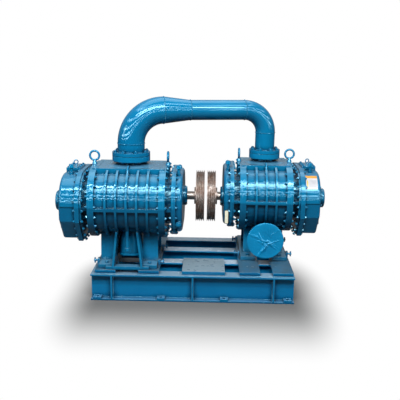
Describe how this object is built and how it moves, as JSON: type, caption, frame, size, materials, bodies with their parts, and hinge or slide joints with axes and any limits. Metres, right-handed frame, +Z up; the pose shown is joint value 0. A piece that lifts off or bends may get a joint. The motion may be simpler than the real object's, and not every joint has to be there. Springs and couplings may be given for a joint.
{
  "type": "roots blower",
  "caption": "Two-stage roots blower set on a welded beam base, with a crossover pipe and grooved belt pulleys on both drive shafts.",
  "frame": {"origin": "on the floor under the middle of the welded base, below the line of the drive shafts", "axes": "+X along the shafts from the first to the second stage, -Y to the front, +Z up"},
  "size_m": [2.029, 0.97, 1.4605],
  "materials": {
    "cast_paint": "glossy blue machine paint on castings",
    "beam_paint": "glossy blue machine paint on rolled steel",
    "pipe_paint": "glossy blue machine paint on pipe",
    "bearing_steel": "ground steel",
    "bare_shaft": "turned steel, light brown film",
    "rotor_iron": "machined cast iron",
    "pulley_iron": "turned cast iron, light rust",
    "gauge_lens": "pale oil gauge",
    "gasket_sheet": "black sheet gasket",
    "wrap_film": "blue plastic film"
  },
  "bodies": {
    "set": {"front_beam": "beam_paint", "rear_beam": "beam_paint", "inner_beams": "beam_paint", "end_beams": "beam_paint", "seat_plate": "beam_paint", "crossover_pipe": "pipe_paint", "first_casing": "cast_paint", "first_drive_side_plate": "cast_paint", "first_gear_side_plate": "cast_paint", "first_bearings": "bearing_steel", "first_gear_case": "cast_paint", "first_hatch": "cast_paint", "first_drive_end_cap": "cast_paint", "first_idle_end_cap": "cast_paint", "first_drive_cover": "cast_paint", "first_seal_cap": "cast_paint", "first_oil_gauge": "gauge_lens", "first_level_plug": "cast_paint", "first_gasket": "gasket_sheet", "first_port_bolts": "cast_paint", "first_lifting_eyes": "cast_paint", "first_cover_eyes": "cast_paint", "first_breathers": "cast_paint", "first_foot_bolts": "cast_paint", "first_deck_plates": "beam_paint", "first_port_film": "wrap_film", "second_casing": "cast_paint", "second_drive_side_plate": "cast_paint", "second_gear_side_plate": "cast_paint", "second_bearings": "bearing_steel", "second_gear_case": "cast_paint", "second_hatch": "cast_paint", "second_drive_end_cap": "cast_paint", "second_idle_end_cap": "cast_paint", "second_drive_cover": "cast_paint", "second_seal_cap": "cast_paint", "second_oil_gauge": "gauge_lens", "second_level_plug": "cast_paint", "second_gasket": "gasket_sheet", "second_port_bolts": "cast_paint", "second_lifting_eyes": "cast_paint", "second_cover_eyes": "cast_paint", "second_breathers": "cast_paint", "second_foot_bolts": "cast_paint", "second_deck_plates": "beam_paint", "second_port_film": "wrap_film"},
    "first_drive": {"first_drive_shaft": "bare_shaft", "first_drive_rotor": "rotor_iron", "first_drive_gear": "bearing_steel", "first_pulley": "pulley_iron"},
    "first_idle": {"first_idle_shaft": "bare_shaft", "first_idle_rotor": "rotor_iron", "first_idle_gear": "bearing_steel"},
    "second_drive": {"second_drive_shaft": "bare_shaft", "second_drive_rotor": "rotor_iron", "second_drive_gear": "bearing_steel", "second_pulley": "pulley_iron"},
    "second_idle": {"second_idle_shaft": "bare_shaft", "second_idle_rotor": "rotor_iron", "second_idle_gear": "bearing_steel"}
  },
  "joints": [
    {"name": "first_drive_turn", "type": "hinge", "parent": "set", "child": "first_drive", "pos_m": [-0.45, 0, 0.692], "axis": [1, 0, 0], "continuous": true},
    {"name": "first_idle_turn", "type": "hinge", "parent": "set", "child": "first_idle", "pos_m": [-0.45, -0.24, 0.692], "axis": [1, 0, 0], "continuous": true},
    {"name": "second_drive_turn", "type": "hinge", "parent": "set", "child": "second_drive", "pos_m": [0.54, 0, 0.692], "axis": [1, 0, 0], "continuous": true},
    {"name": "second_idle_turn", "type": "hinge", "parent": "set", "child": "second_idle", "pos_m": [0.54, 0.24, 0.692], "axis": [1, 0, 0], "continuous": true}
  ],
  "couplings": [
    {"joint": "first_idle_turn", "follows": "first_drive_turn", "ratio": -1},
    {"joint": "second_idle_turn", "follows": "second_drive_turn", "ratio": -1}
  ]
}
